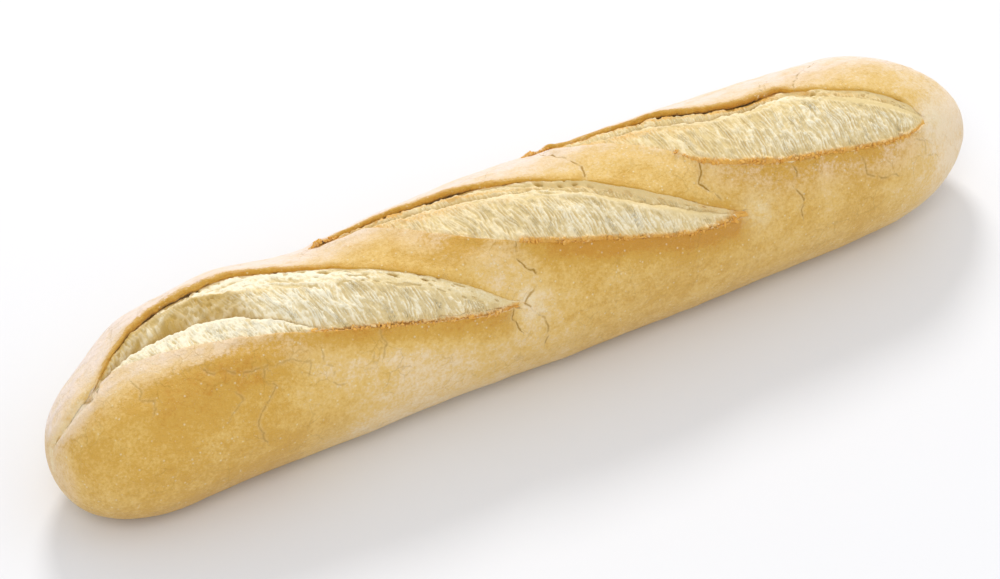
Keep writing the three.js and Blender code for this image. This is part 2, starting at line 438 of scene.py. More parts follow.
def crumb_lines(cut, x):
    """The crumb's lines across a cut, as mm from the back edge: rear ridge, gap, front crest, front edge."""
    back = cut.back(x)
    width = np.maximum((cut.front(x) - back) * MM_PER_DEGREE, 0.4)

    def across(line):
        return (curve(x, line) - back) * MM_PER_DEGREE

    wander = 0.45 * cut.rough(1, x / 3.3, 0.6) + 0.25 * cut.rough(2, x / 1.2, 0.2)
    rear = np.clip((across(cut.rear_line) + 0.5 * wander) / width, 0.04, 0.9)
    gap = np.clip((across(cut.gap_line) + wander * cut.open(x)) / width, rear + 0.03, 0.98)
    crest = across(cut.crest_line) / width if cut.crest_line else mix(gap, 1, cut.front_share)
    crest = np.clip(crest, gap + 0.01, 0.99)
    return rear * width, gap * width, crest * width, width


def bubbles(cut, x, s):
    """How far inside one of the cut's few large bubbles a place is: x, mm from the back edge, size."""
    inside = 0.0
    for px, ps, size in cut.bubbles:
        inside = np.maximum(inside, bell(np.hypot((x - px) / (1.3 * size), (s - ps) / (0.6 * size)) ** 2))
    return inside


def arc(t):
    """A quarter circle: 1 at 0, falling ever faster to 0 at 1."""
    return np.sqrt(np.clip(1 - np.clip(t, 0, 1) ** 2, 0, 1))


def crumb_shape(cut, x, s, rear, gap, crest, width):
    """Height of the crumb, s mm from the back edge: rear ridge, gap, front bulge, front lip."""
    opened = cut.open(x)
    ear = curve(x, cut.ear)
    foot = (mix(0.6 * ear - 0.6, ear - 0.35, cut.calm(x)) - 1.3 * curve(x, cut.groove)) * opened
    toe = 0.4 * opened
    rear_h, gap_h, crest_h = (curve(x, line) for line in (cut.rear, cut.gap, cut.front_rise))
    gap_h = gap_h * (1 + 0.25 * cut.rough(0, x / 3.1, 0.4))
    up = mix(foot, rear_h, smooth(s / rear))
    down = mix(gap_h, rear_h, arc((s - rear) / (gap - rear)))
    out = mix(gap_h, crest_h, arc((crest - s) / (crest - gap)) ** 0.8)
    away = mix(toe, crest_h, arc((s - crest) / (width - crest) * 0.97))
    return np.where(s < rear, up, np.where(s < gap, down, np.where(s < crest, out, away)))


def torn_strands(cut, x, s):
    """The strands that a burst tears the crumb into, and the broad folds they lie in."""
    bent = x - cut.lean * s + 0.8 * cut.rough(3, x / 4.3, s / 5.5)
    fibre = 1.6 * bell(cut.rough(4, bent / 1.0, s / 4.2) / 0.38) - 0.8
    fine = 1.6 * bell(cut.rough(5, bent / 0.62, s / 2.6) / 0.42) - 0.8
    phase = bent / 0.85 + 1.3 * cut.rough(13, bent / 2.7, s / 4.6)
    comb = 2 * (0.5 + 0.5 * np.cos(2 * np.pi * phase)) ** 1.4 - 1
    comb = comb * (0.6 + 0.7 * cut.rough(18, bent / 1.5, s / 2.3))
    broken = 0.9 + 0.3 * cut.rough(16, bent / 3.2, s / 4.4)
    return broken * (0.3 * comb + 0.2 * fibre + 0.22 * fine), cut.rough(6, bent / 3.1, s / 7.5)


def crumb_lift(cut, x, b):
    """Height of the torn crumb, and of its fine relief alone, at b, the share of the way across."""
    rear, gap, crest, width = crumb_lines(cut, x)
    s = b * width
    opened = cut.open(x)
    wall = np.where(s < gap, smooth((s - rear) / 1.5 + 0.3), smooth((s - crest) / 1.8 + 0.5))
    flank = wall * smooth((width - s) / 0.5 + 0.3) * opened
    strands, folds = torn_strands(cut, x, s)
    calm = 1 - 0.75 * smooth((x - cut.calm_from) / 14)
    top = (1 - wall) * opened * smooth(s / 1.0) * calm
    drift = s + 1.0 * cut.rough(10, x / 7, s / 5)
    layers = 1 - 2 * np.abs(cut.rough(7, x / 15, drift / 1.7))
    lumps = cut.rough(9, x / 2.3, s / 1.7)
    grit = cut.rough(8, x / 0.7, s / 0.7)
    pore = cut.rough(12, x / 1.5, s / 0.9)
    hole = smooth((pore - 0.56) / 0.2) * smooth((rear + 2.0 - s) / 2) * opened
    relief = flank * (strands + 0.16 * grit) + top * (0.32 * layers + 0.30 * grit + 0.14 * lumps)
    behind = smooth((-80 - x) / 14) * smooth((s - rear - 0.3) / 1.0) * (s < gap)
    pit = cut.rough(17, x / 0.8, s / 1.0)
    relief = relief - 1.1 * bubbles(cut, x, s)
    relief = relief * (1 - 0.45 * behind) - 0.55 * hole - 0.5 * behind * smooth((pit - 0.1) / 0.5)
    rag = 0.6 + 0.7 * cut.rough(21, x / 1.3, 0.3) + 0.4 * cut.rough(22, x / 0.55, s / 0.9)
    ragged = opened * smooth((x - cut.rag_from) / 12) * smooth((cut.end - 3 - x) / 12)
    ragged = ragged * np.maximum(rag, 0) * bell((width - s - 0.9) / 0.8)
    h = crumb_shape(cut, x, s, rear, gap, crest, width) + 1.1 * ragged
    return h + opened * 0.3 * folds * flank + 0.16 * lumps * opened * calm + relief, relief


# ---------- meshes ----------


def ring_places(count):
    """x of each ring: close together on the noses, even between."""
    nose = int(count * 0.11)
    half = LENGTH / 2
    near, far = -half + NEAR_NOSE[0], half - FAR_NOSE[0]
    k = np.arange(1, nose + 1) / nose
    first = -half + NEAR_NOSE[0] * k**2
    last = (half - FAR_NOSE[0] * k**2)[::-1]
    return np.concatenate([first, np.linspace(near, far, count - 2 * nose + 2)[1:-1], last])


def write_attributes(mesh, attributes):
    for key, values in attributes.items():
        layer = mesh.attributes.new(key, "FLOAT", "POINT")
        layer.data.foreach_set("value", np.asarray(values, np.float32).ravel())


def mesh_object(name, points, faces, material, attributes):
    """A smooth mesh object in metres, its place in its mesh."""
    mesh = bpy.data.meshes.new(name)
    points = np.asarray(points, float).reshape(-1, 3) * MM
    mesh.vertices.add(len(points))
    mesh.vertices.foreach_set("co", points.astype(np.float32).ravel())
    sizes = np.array([len(f) for f in faces], np.int32)
    mesh.loops.add(int(sizes.sum()))
    mesh.loops.foreach_set("vertex_index", np.concatenate([np.asarray(f, np.int32) for f in faces]))
    mesh.polygons.add(len(faces))
    mesh.polygons.foreach_set("loop_start", np.concatenate(([0], np.cumsum(sizes)[:-1])).astype(np.int32))
    mesh.polygons.foreach_set("use_smooth", np.ones(len(faces), bool))
    mesh.update(calc_edges=True)
    mesh.validate()
    write_attributes(mesh, attributes)
    mesh.materials.append(material)
    obj = bpy.data.objects.new(name, mesh)
    bpy.context.scene.collection.objects.link(obj)
    return obj


def tube_faces(rings, count):
    """Quads of a closed tube of rings, and a fan to one extra point at each end."""
    i = np.arange(rings - 1)[:, None] * count
    k = np.arange(count)[None, :]
    n = (k + 1) % count
    quads = np.stack([i + n, i + count + n, i + count + k, i + k], -1).reshape(-1, 4)
    k, n = np.arange(count), (np.arange(count) + 1) % count
    near, far, end = rings * count, rings * count + 1, (rings - 1) * count
    fans = np.concatenate(
        [
            np.stack([np.full(count, near), n, k], -1),
            np.stack([np.full(count, far), end + k, end + n], -1),
        ]
    )
    return list(quads) + list(fans)


# The rim and underside of a lip, from its edge inwards: mm into the cut, mm of height below the
# edge, and how much of the overhang applies.
RIM = [(0.0, 0.0, 0), (0.25, 0.3, 0), (0.3, 0.8, 0), (0.12, 1.35, 0.1), (-0.45, 1.8, 0.6), (-1.4, 2.5, 1.0)]
BACK_LINES = 4  # of the rim's lines, those that show as the ear's baked edge
PAD = 4.5  # degrees either side that a cut's lines keep beyond its tips


def cut_profile(cut, x):
    """phi and lift of the crust's lines from the back edge of a cut, under its crumb, to the front edge."""
    back, front = cut.back(x), cut.front(x)
    opened = cut.open(x)
    floor = (1.2 * curve(x, cut.gap) - 4.0) * opened
    over = 0.6 + curve(x, cut.overhang)
    back_top = crust_lift(x, back - 0.01)
    front_top = crust_lift(x, front + 0.01)
    lines = []
    for k, (into, down, reach) in enumerate(RIM):
        torn = 0.16 * cut.rough(14, x / 0.8, k * 0.7) * (k > 0)
        place = back + (into + torn - reach * over) / MM_PER_DEGREE
        lines.append((place, back_top - (down + torn) * opened * (0.8 + 0.3 * over)))
    lines.append((back - (1.6 + over) / MM_PER_DEGREE, np.minimum(back_top - 3 * opened, 0.5 * floor)))
    lines += [(mix(back, front, share), floor) for share in (0.12, 0.88)]
    lines.append((front + 1.6 / MM_PER_DEGREE, np.minimum(front_top - 3 * opened, 0.5 * floor)))
    for k, (into, down, reach) in list(enumerate(RIM))[::-1]:
        torn = 0.28 * cut.rough(15, x / 0.9, k * 0.7) * (k > 0)
        place = front - (into + torn - reach * 0.8) / MM_PER_DEGREE
        lines.append((place, front_top - (down + torn) * opened * 0.9))
    phi, lift = (np.stack(values, -1) for values in zip(*lines))
    pad = cut.middle(x)[:, None] + PAD * np.linspace(-1, 1, len(lines))
    w = smooth(opened * 1.6)[:, None]
    flat = crust_lift(x[:, None], pad)
    return mix(pad, phi, w), mix(flat, lift, w)


# How brown the crust is along its front side, as (x, share), and on its top and back. The pale back and the
# pale front past the far cut are partly painted light: the sheen on the back, and the brighter lit far nose.
FRONT_BAKE = [(-150, 0.5), (-130, 0.66), (-98, 0.68), (-78, 0.30), (-50, 0.20), (-25, 0.28), (5, 0.48),
              (40, 0.55), (70, 0.52), (95, 0.56), (115, 0.38), (132, 0.0), (150, -0.15)]
TOP_BAKE = [(-150, 0.35), (-120, 0.25), (-90, 0.3), (-60, 0.45), (-25, 0.5), (10, 0.3), (35, 0.25),
            (60, 0.35), (85, 0.45), (115, 0.42), (150, 0.15)]
BACK_BAKE = 0.04
# Where the top's tone turns into the front's, as (x, phi), and over how many degrees.
TURN_START = [(-150, -2), (-120, 6), (-100, 14), (-75, 16), (-45, 14), (150, 12)]
TURN_WIDTH = [(-150, 18), (-75, 20), (-45, 40), (150, 40)]
# Browner and paler patches: x, phi, half length in mm, half height in degrees, how much browner.
PATCHES = [(-24, 16, 9, 9, 0.5), (28, 13, 8, 7, 0.3), (-108, 38, 18, 16, 0.12), (-74, 84, 14, 18, 0.32),
           (60, 60, 9, 18, 0.15), (-100, 40, 30, 16, 0.08), (86, 62, 5, 16, -0.15),
           (104, 62, 8, 16, 0.12), (40, 26, 10, 10, 0.2), (-104, 26, 28, 14, 0.12)]
# The crust's tone at the very ends: x, how brown, how much painted sheen (a pale pink), and over how many mm.
END_TONES = [(-LENGTH / 2, 0.42, 0.3, 3.0), (LENGTH / 2, 0.12, 0.3, 15.0)]


def crust_tones(xs, wrapped, rim):
    """How brown and how floury the crust is, and how much painted sheen, a pale pink standing for the light's
    glint, lies on it; rim is 0 but on the ears' edges.
    """
    bake = mix(BACK_BAKE, curve(xs, TOP_BAKE), smooth((wrapped + 38) / 36))
    bake = bake + 0.46 * smooth((-50 - wrapped) / 36)
    turn = (wrapped - curve(xs, TURN_START)) / curve(xs, TURN_WIDTH)
    bake = mix(bake, curve(xs, FRONT_BAKE), smooth(turn) * smooth((190 - wrapped) / 50))
    for px, pphi, wide, tall, amount in PATCHES:
        bake += amount * bell(np.hypot((xs - px) / wide, (wrapped - pphi) / tall))
    flour = np.zeros(xs.shape)
    # painted sheen: a pale pink over the crust that faces up and back, standing for the glint of the light
    # from behind
    blush = smooth((4 - wrapped) / 36) * smooth((wrapped + 84) / 36)
    for cut in CUTS:
        opened = cut.open(xs) * ((xs > cut.start) & (xs < cut.end))
        before = (wrapped - cut.front(xs)) * MM_PER_DEGREE
        behind = (cut.back(xs) - wrapped) * MM_PER_DEGREE
        below = np.where(before > -1, bell(np.maximum(before, 0) / 5.5), 0)
        band = np.where(before > -1, bell(np.maximum(before, 0) / 7), 0)
        above = np.where(behind > -1, bell(np.maximum(behind, 0) / 1.7), 0)
        # and a band of the same painted sheen below each front lip
        blush = np.maximum(blush, curve(xs, cut.sheen) * band)
        bake += cut.lip_bake * opened * below * smooth((xs - cut.rag_from + 6) / 26)
        bake += mix(0.75, 0.3, cut.calm(xs)) * opened * above
        tip = bell(np.hypot(xs - cut.end - 1, (wrapped - cut.back_line[-1][1]) * MM_PER_DEGREE) / 5.5)
        bake -= 0.25 * tip
        flour = np.maximum(flour, tip * 0.5)
    bake = np.maximum(bake, 1.1 * rim)
    for end, tone, pink, reach in END_TONES:
        near_end = smooth(1.15 - np.abs(xs - end) / reach)
        bake = mix(bake, tone, near_end)
        blush = mix(blush, pink, near_end)
    crease = nose_crease(xs, wrapped)
    flour = np.maximum(flour, 0.9 * bell(crease / 1.5) * (xs < -120))
    return bake, flour, blush


def make_crust(sizes, material):
    """One closed tube round the loaf: across each cut, over the bridge to the next, and round the belly."""
    x = ring_places(sizes.rings)
    cuts = CUTS[::-1]
    profiles = [cut_profile(cut, x) for cut in cuts]
    stops = [phi[:, :1] for phi, _ in profiles[1:]] + [profiles[0][0][:, :1] + 360]
    counts = [sizes.bridge_lines, sizes.bridge_lines, sizes.belly_lines]
    parts = []
    for cut, (phi, lift), stop, count in zip(cuts, profiles, stops, counts):
        t = np.linspace(0, 1, count + 2)[1:-1]
        t = t**1.35 if cut is cuts[-1] else mix(t, smooth(t), 0.75)
        between = mix(phi[:, -1:], stop, t[None, :])
        beyond = crust_lift(x[:, None], np.where(between > 180, between - 360, between))
        across = phi.shape[1]
        column = np.arange(across + count)
        torn = cut.open(x)[:, None] * ((column >= BACK_LINES) & (column < across - 1))
        rim = (cut.open(x) * mix(0.84, 0.6, cut.calm(x)))[:, None] * (column < BACK_LINES)
        parts.append((np.concatenate([phi, between], 1), np.concatenate([lift, beyond], 1), torn, rim))
    phi, lift, torn, rim = (np.concatenate(values, 1) for values in zip(*parts))
    xs = np.broadcast_to(x[:, None], phi.shape)
    wrapped = np.where(phi > 180, phi - 360, phi)
    side, near = crack_distance(xs, wrapped)
    lift = lift - near * (0.4 * bell(side / 1.3) + 0.2 * bell(side / 0.5))
    closing = smooth(2 * nose_scale(xs + LENGTH / 2, NEAR_NOSE) * nose_scale(LENGTH / 2 - xs, FAR_NOSE))
    points = skin(xs, phi, lift * closing).reshape(-1, 3)
    tips = [skin(np.array(v), np.array(0.0), np.array(0.0)) for v in (-LENGTH / 2, LENGTH / 2)]
    bake, flour, blush = crust_tones(xs, wrapped, rim)
    tones = {"crack_side": side, "crack_near": near, "bake": bake, "torn": torn}
    # the last of these is the painted sheen, a pale pink standing for the light's glint
    tones |= {"flour": flour, "blush": blush}
    return mesh_object(
        "crust",
        np.concatenate([points, np.array(tips)]),
        tube_faces(len(x), phi.shape[1]),
        material,
        {key: np.append(values, [values[0].mean(), values[-1].mean()]) for key, values in tones.items()},
    )


TUCK = np.array([0.4, 0.9, 1.7])  # how far the crumb's edges run in under the lips
TUCK_DROP = np.array([0.35, 1.0, 2.4])  # and how far down
UNDER = np.array([0.85, 0.5, 0.15])  # shares of the way across of the lines under the crumb


def crumb_tones(cut, xs, b, relief):
    """How toasted the crumb is, the painted shade in its gaps, bubbles and the groove under each ear, and the
    relief that sets the painted shade between its strands.
    """
    rear, gap, crest, width = crumb_lines(cut, xs)
    s = b * width
    fresh = cut is CUTS[0]
    # painted shade, by the gap's depth: on the near cut's rear wall (partly also the wall's own golden tone),
    # along the bottom of each gap, in the bubbles and in the groove under each ear
    depth = np.clip(-curve(xs, cut.gap) / 4, 0, 1)
    folds = 0.75 + 0.35 * cut.rough(24, xs / 6, s / 1.1)
    rear_wall = smooth((s - rear + 1.5) / 1.5) * (s < gap) * smooth((-76 - xs) / 20) * folds
    painted_shade = depth * np.maximum(0.85 * rear_wall, bell((s - gap) / 0.8))
    painted_shade = np.maximum(painted_shade, 0.8 * bubbles(cut, xs, s))
    gloom = curve(xs, cut.groove) * (0.8 + 0.5 * cut.rough(25, xs / 3.5, s / 1.5))
    painted_shade = np.maximum(painted_shade, gloom * bell((s - 0.3) / 1.0))
    lip = smooth((xs - cut.rag_from) / 12)
    bake = (0.15 + 0.85 * lip) * bell((width - s) / 1.8) + mix(0.8, 0.15, cut.calm(xs)) * bell(s / 0.9)
    bake = bake + 0.5 * bell((s - rear) / 0.8) * depth
    ridges = 0.15 if fresh else 1
    bake = bake + 0.26 * ridges * bell((s - crest) / 1.8) * (s > gap)
    bake = bake + 0.25 * ridges * bell((s - rear) / 2.0) * (s < gap)
    if not fresh:
        left = 1 - smooth((xs - cut.start - 30) / 45)
        bake = bake + 0.14 + 0.34 * left * (s > gap)
    # the smooth strip below a shallow ear: a little browner, and with more painted shade between strands, as
    # it lies in a hollow
    skin_band = cut.calm(xs) * smooth((crest - s) / 1.2) * cut.open(xs)
    bake = bake + 0.15 * skin_band
    # lessens the painted shade between strands on the near cut's front crumb, which faces the light
    lit_front = 0.16 * smooth((-62 - xs) / 12) * (s > gap) * (1 - smooth((s - width + 2) / 1.5))
    # relief sets the painted shade between strands; each cut's own share lessens it
    return {"bake": bake, "painted_shade": painted_shade, "relief": relief + lit_front + cut.less_hollow_shade - 0.2 * skin_band}


def make_crumb(cut, sizes, material):
    """One closed tongue of crumb: its torn top, tucked in under both lips, and its hidden underside."""
    length = cut.end - cut.start
    x = np.linspace(cut.start + 0.8, cut.end - 0.8, int(length / sizes.crumb_grid))
    widest = np.max((cut.front(x) - cut.back(x)) * MM_PER_DEGREE)
    lines = int(widest / sizes.crumb_grid)
    b = np.broadcast_to(np.linspace(0, 1, lines), (len(x), lines))
    xs = np.broadcast_to(x[:, None], b.shape)
    phi = mix(cut.back(xs), cut.front(xs), b)
    lift, relief = crumb_lift(cut, xs, b)
    top = swell(xs, phi) + lift
    opened = cut.open(x)[:, None]
    over = (0.6 + curve(x, cut.overhang))[:, None]
    phi_back = phi[:, :1] - (TUCK * opened * over)[:, ::-1] / MM_PER_DEGREE
    phi_front = phi[:, -1:] + TUCK * opened / MM_PER_DEGREE * 0.8
    lift_back = top[:, :1] - (TUCK_DROP * opened)[:, ::-1]
    lift_front = top[:, -1:] - TUCK_DROP * opened
    floor = (1.15 * curve(x, cut.gap)[:, None] - 3.2) * opened - 0.3
    phi_under = mix(phi[:, :1], phi[:, -1:], UNDER)
    phi_all = np.concatenate([phi_back, phi, phi_front, phi_under], 1)
    lift_all = np.concatenate([lift_back, top, lift_front, np.repeat(floor, len(UNDER), 1)], 1)
    points = skin(x[:, None], phi_all, lift_all - 0.15 * (1 - opened))
    ends = np.array([points[0].mean(0), points[-1].mean(0)])
    unseen = ((0, 0), (len(TUCK), len(TUCK) + len(UNDER)))
    tones = crumb_tones(cut, xs, b, relief)
    return mesh_object(
        cut.name,
        np.concatenate([points.reshape(-1, 3), ends]),
        tube_faces(len(x), phi_all.shape[1]),
        material,
        {key: np.append(np.pad(values, unseen), [0.0, 0.0]) for key, values in tones.items()},
    )


EAR_CRUMBS = 110  # at the low end of each ear
FLATNESS = 0.25  # least height of a crumb, as a share of its size


def lip_crumb_points():
    """Places, sizes and tones of the toasted crumbs along the front lips and at the ears' low ends."""
    rng = np.random.default_rng(5)
    crumbs = []
    for cut in CUTS:
        first, count = cut.lip_crumbs
        x = rng.uniform(first, cut.end - 7, count)
        x = x[cut.rough(20, x / 3.7, 0.5) + rng.uniform(-0.6, 0.6, count) > -0.35]
        inside = np.abs(rng.normal(0, 0.6, len(x))) - 0.15
        width = (cut.front(x) - cut.back(x)) * MM_PER_DEGREE
        b = np.clip(1 - inside / np.maximum(width, 1), 0, 1)
        phi = mix(cut.back(x), cut.front(x), b)
        size = (0.4 + 1.2 * rng.uniform(0, 1, len(x)) ** 2.2) * (0.5 + 0.5 * cut.open(x))
        lip = crust_lift(x, cut.front(x) + 0.01) - 0.15
        crumb = swell(x, phi) + crumb_lift(cut, x, np.minimum(b, 0.995))[0]
        lift = np.maximum(mix(lip, crumb, smooth(inside / 1.1)), crumb) + 0.12 * size
        tone = np.clip(1.2 - 0.3 * inside + rng.uniform(-0.25, 0.1, len(x)), 0.4, 1.3)
        crumbs.append((skin(x, phi, lift), size, tone))
    for cut in CUTS[1:]:
        x = cut.start + 0.8 + 7.5 * rng.uniform(0, 1, EAR_CRUMBS) ** 1.5
        b = rng.uniform(-0.1, 0.5, EAR_CRUMBS)
        phi = mix(cut.back(x), cut.front(x), b) - 0.6 * (1 - b)
        size = rng.uniform(0.4, 1.3, EAR_CRUMBS)
        lift = crust_lift(x, cut.back(x) - 0.01) - 0.35 - 0.5 * np.clip(b, 0, 1)
        crumbs.append((skin(x, phi, lift), size, rng.uniform(0.8, 1.1, EAR_CRUMBS)))
    return [np.concatenate(values) for values in zip(*crumbs)]


def scatter_tree(material):
    """Geometry nodes that put a small uneven crumb on each point, sized by the point's own size."""
    tree = bpy.data.node_groups.new("lip_crumbs", "GeometryNodeTree")
    face = tree.interface
    face.new_socket("Geometry", in_out="INPUT", socket_type="NodeSocketGeometry")
    face.new_socket("Flatness", in_out="INPUT", socket_type="NodeSocketFloat").default_value = 0.7
    face.new_socket("Seed", in_out="INPUT", socket_type="NodeSocketInt").default_value = 3
    face.new_socket("Geometry", in_out="OUTPUT", socket_type="NodeSocketGeometry")
    source = tree.nodes.new("NodeGroupInput")
    points, flatness, seed = (Wire(tree, source.outputs[name]) for name in ("Geometry", "Flatness", "Seed"))

    def made(kind, output, settings=None, **sockets):
        return points.out(points.node(kind, settings, **sockets), output)

    ball = made("GeometryNodeMeshIcoSphere", "Mesh", Radius=0.5 * MM, Subdivisions=1)
    rough = made("ShaderNodeTexNoise", "Color", Scale=1400)
    centred = {"i1": (0.7 * MM,) * 3, "i2": (-0.35 * MM,) * 3}
    shift = made("ShaderNodeVectorMath", 0, {"operation": "MULTIPLY_ADD"}, i0=rough, **centred)
    uneven = made("GeometryNodeSetPosition", "Geometry", Geometry=ball, Offset=shift)
    size = made("GeometryNodeInputNamedAttribute", "Attribute", {"data_type": "FLOAT"}, Name="size")
    least = made("ShaderNodeCombineXYZ", 0, X=0.6, Y=0.4, Z=flatness)
    vector = {"data_type": "FLOAT_VECTOR"}
    stretch = made("FunctionNodeRandomValue", 0, vector, i0=least, i1=(2.0, 1.2, 0.8), Seed=seed)
    scale = made("ShaderNodeVectorMath", 0, {"operation": "SCALE"}, i0=stretch, Scale=size)
    turn = made("FunctionNodeRandomValue", 0, vector, i1=(math.tau,) * 3, Seed=seed)
    placed = {"Points": points, "Instance": uneven, "Rotation": turn, "Scale": scale}
    crumbs = made("GeometryNodeInstanceOnPoints", "Instances", **placed)
    real = made("GeometryNodeRealizeInstances", "Geometry", Geometry=crumbs)
    painted = made("GeometryNodeSetMaterial", "Geometry", Geometry=real, Material=material)
    points.node("NodeGroupOutput", Geometry=painted)
    return tree


def make_lip_crumbs(material):
    """The crumbs along the lips, as one mesh object."""
    places, sizes, tones = lip_crumb_points()
    mesh = bpy.data.meshes.new("lip_crumbs")
    mesh.from_pydata(places * MM, [], [])
    # the lip crumbs get no painted shade: none in gaps, and a relief that keeps the painted shade between
    # strands off them
    write_attributes(mesh, {"size": sizes, "bake": tones, "painted_shade": 0 * tones, "relief": 0 * tones + 0.3})
    obj = bpy.data.objects.new("lip_crumbs", mesh)
    bpy.context.scene.collection.objects.link(obj)
    modifier = obj.modifiers.new("crumbs", "NODES")
    modifier.node_group = scatter_tree(material)
    for item in modifier.node_group.interface.items_tree:
        if item.item_type == "SOCKET" and item.in_out == "INPUT" and item.name == "Flatness":
            modifier[item.identifier] = FLATNESS
    depsgraph = bpy.context.evaluated_depsgraph_get()
    made = bpy.data.meshes.new_from_object(obj.evaluated_get(depsgraph))
    obj.modifiers.clear()
    obj.data = made
    made.polygons.foreach_set("use_smooth", np.zeros(len(made.polygons), bool))
    return obj


# ---------- materials ----------


class Wire:
    """A shader socket that Python's operators add Math nodes to."""

    def __init__(self, tree, socket):
        self.tree, self.socket = tree, socket

    def node(self, kind, settings=None, **sockets):
        """A node of that kind: its settings first, then its sockets' values or wires."""
        made = self.tree.nodes.new(kind)
        for key, value in (settings or {}).items():
            setattr(made, key, value)
        for key, value in sockets.items():
            name = int(key[1:]) if key[0] == "i" and key[1:].isdigit() else key.replace("_", " ")
            target = made.inputs[name]
            if isinstance(value, Wire):
                self.tree.links.new(value.socket, target)
            else:
                target.default_value = value
        return made

    def out(self, made, name=0):
        return Wire(self.tree, made.outputs[name])

    def math(self, operation, *values):
        inputs = {f"i{i}": v for i, v in enumerate(values)}
        return self.out(self.node("ShaderNodeMath", {"operation": operation}, **inputs))

    def __add__(self, other):
        return self.math("ADD", self, other)

    def __radd__(self, other):
        return self.math("ADD", other, self)

    def __sub__(self, other):
        return self.math("SUBTRACT", self, other)

    def __rsub__(self, other):
        return self.math("SUBTRACT", other, self)

    def __mul__(self, other):
        return self.math("MULTIPLY", self, other)

    def __rmul__(self, other):
        return self.math("MULTIPLY", other, self)

    def __abs__(self):
        return self.math("ABSOLUTE", self)

    def step(self, low, high):
        """0 below low, 1 above high, smooth between."""
        smoothly = {"interpolation_type": "SMOOTHSTEP"}
        return self.out(self.node("ShaderNodeMapRange", smoothly, Value=self, From_Min=low, From_Max=high))

    def bell(self, width):
        """1 at 0, falling to 0 at width on both sides."""
        return 1 - abs(self).step(0.0, width)

    def blend(self, other, factor):
        """This colour mixed with another."""
        return self.out(self.node("ShaderNodeMix", {"data_type": "RGBA"}, i0=factor, i6=self, i7=other), 2)


class Finish:
    """A material under construction: its shader, its place on the piece, and its patterns."""

    def __init__(self, name, **shader):
        self.material = bpy.data.materials.new(name)
        self.material.use_nodes = True
        self.tree = self.material.node_tree
        self.shader = self.tree.nodes["Principled BSDF"]
        for key, value in shader.items():
            self.shader.inputs[key.replace("_", " ")].default_value = value
        coordinates = self.tree.nodes.new("ShaderNodeTexCoord")
        self.place = Wire(self.tree, coordinates.outputs["Object"])

    def attribute(self, name):
        made = self.place.node("ShaderNodeAttribute", {"attribute_name": name})
        return self.place.out(made, "Fac")

    def colour(self, rgb):
        made = self.place.node("ShaderNodeRGB")
        made.outputs[0].default_value = (*rgb, 1)
        return self.place.out(made)

    def vector(self, operation, *values):
        inputs = {f"i{i}": v for i, v in enumerate(values)}
        return self.place.out(self.place.node("ShaderNodeVectorMath", {"operation": operation}, **inputs))

    def shifted(self, amount, size):
        """The place, pushed about by noise, to break up regular patterns."""
        bend = self.place.node("ShaderNodeTexNoise", Vector=self.place, Scale=1 / (size * MM), Detail=2.0)
        centred = self.vector("SUBTRACT", self.place.out(bend, "Color"), (0.5, 0.5, 0.5))
        return self.vector("MULTIPLY_ADD", centred, (amount * MM,) * 3, self.place)

    def stretched(self, along):
        """The place, squeezed along the loaf so that patterns run lengthways."""
        return self.vector("MULTIPLY", self.place, (1 / along, 1, 1))

    def speckle(self, size, detail=2.0, roughness=0.5, place=None):
        """Noise from 0 to 1 with lumps of a size in mm."""
        inputs = {"Scale": 1 / (size * MM), "Detail": detail, "Roughness": roughness}
        made = self.place.node("ShaderNodeTexNoise", Vector=place or self.place, **inputs)
        return self.place.out(made, "Fac")

    def cells(self, size, feature="F1", place=None):
        """Distance in cells to scattered points, or to the edges between their cells."""
        inputs = {"Vector": place or self.place, "Scale": 1 / (size * MM)}
        made = self.place.node("ShaderNodeTexVoronoi", {"feature": feature}, **inputs)
        return self.place.out(made, "Distance")

    def finish(self, colour, roughness, height, depth, strength=1.0):
        link = self.tree.links.new
        link(colour.socket, self.shader.inputs["Base Color"])
        link(roughness.socket, self.shader.inputs["Roughness"])
        bump = self.place.node("ShaderNodeBump", Height=height, Distance=depth * MM, Strength=strength)
        link(bump.outputs["Normal"], self.shader.inputs["Normal"])
        return self.material


